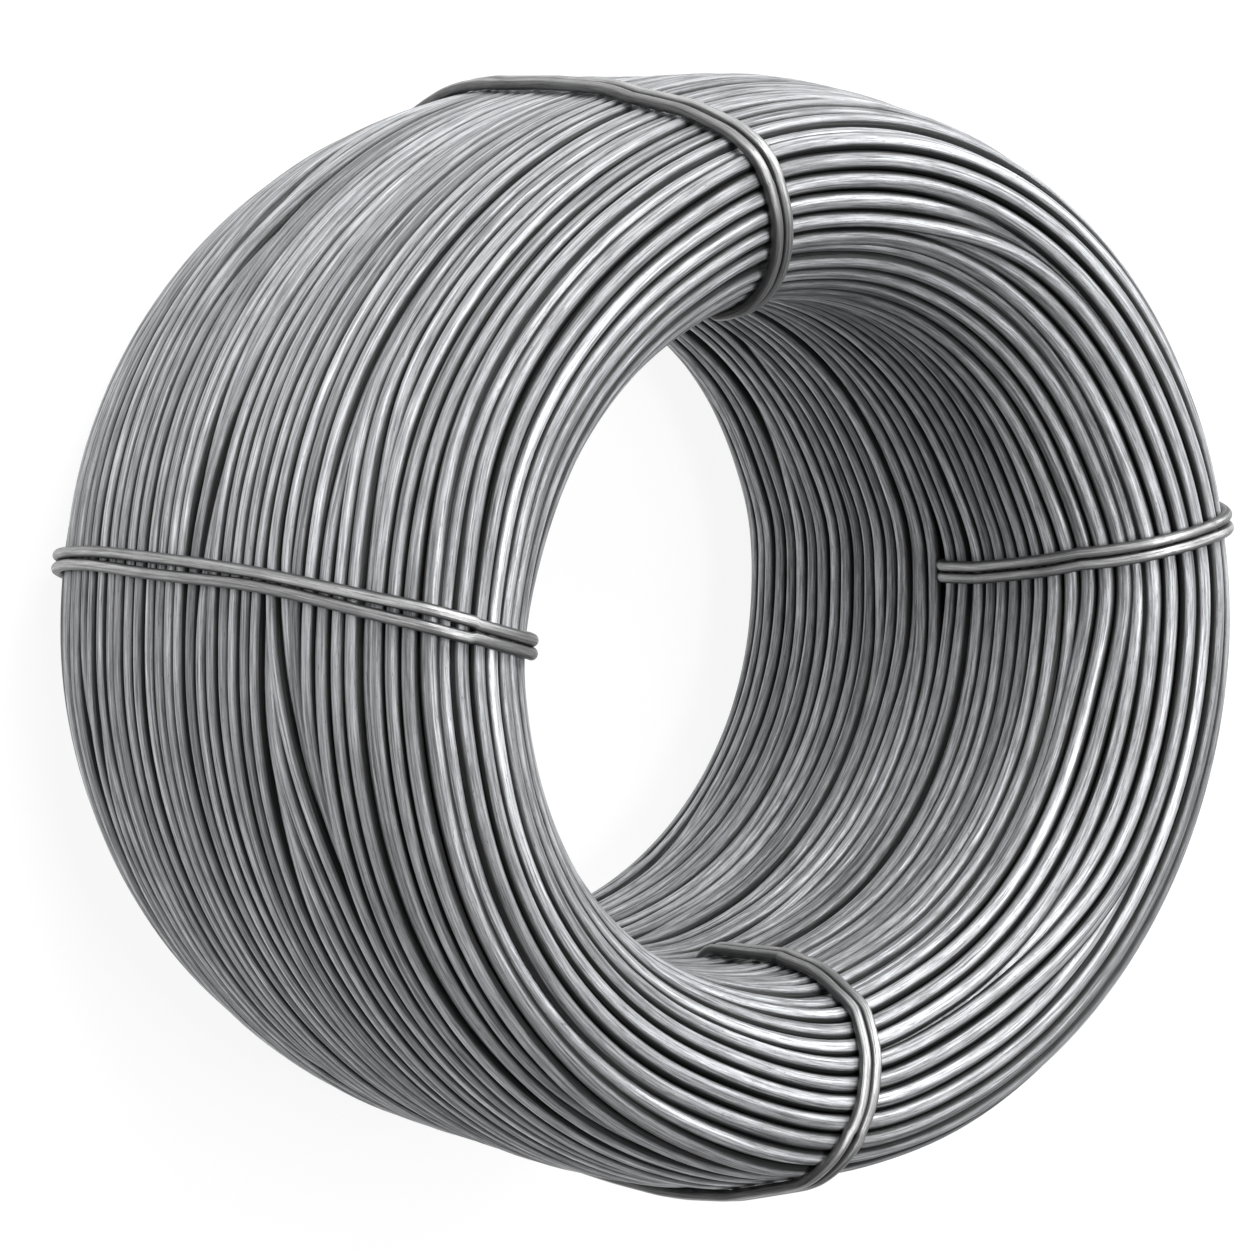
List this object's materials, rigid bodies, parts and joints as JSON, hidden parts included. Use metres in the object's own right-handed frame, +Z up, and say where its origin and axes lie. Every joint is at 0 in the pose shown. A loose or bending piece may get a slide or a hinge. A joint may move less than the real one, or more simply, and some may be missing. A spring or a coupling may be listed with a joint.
{
  "type": "coil of wire rod",
  "caption": "Ring-shaped coil of smooth round steel wire rod, standing on its end, with an open bore for a hook or mandrel, held by doubled wire ties looped through the bore",
  "frame": {"origin": "on the floor, under the middle of the coil's outline", "axes": "+Z is up, along the bore; the upper end is the one seen in front in the picture, with its right towards +X and its top towards +Y"},
  "size_m": [0.6166, 0.6167, 0.3886],
  "materials": {
    "rod_steel": "satin",
    "tie_steel": "satin"
  },
  "bodies": {
    "root": {"rod_coil": "rod_steel", "tie_1": "tie_steel", "tie_2": "tie_steel", "tie_3": "tie_steel", "tie_4": "tie_steel"}
  },
  "joints": []
}
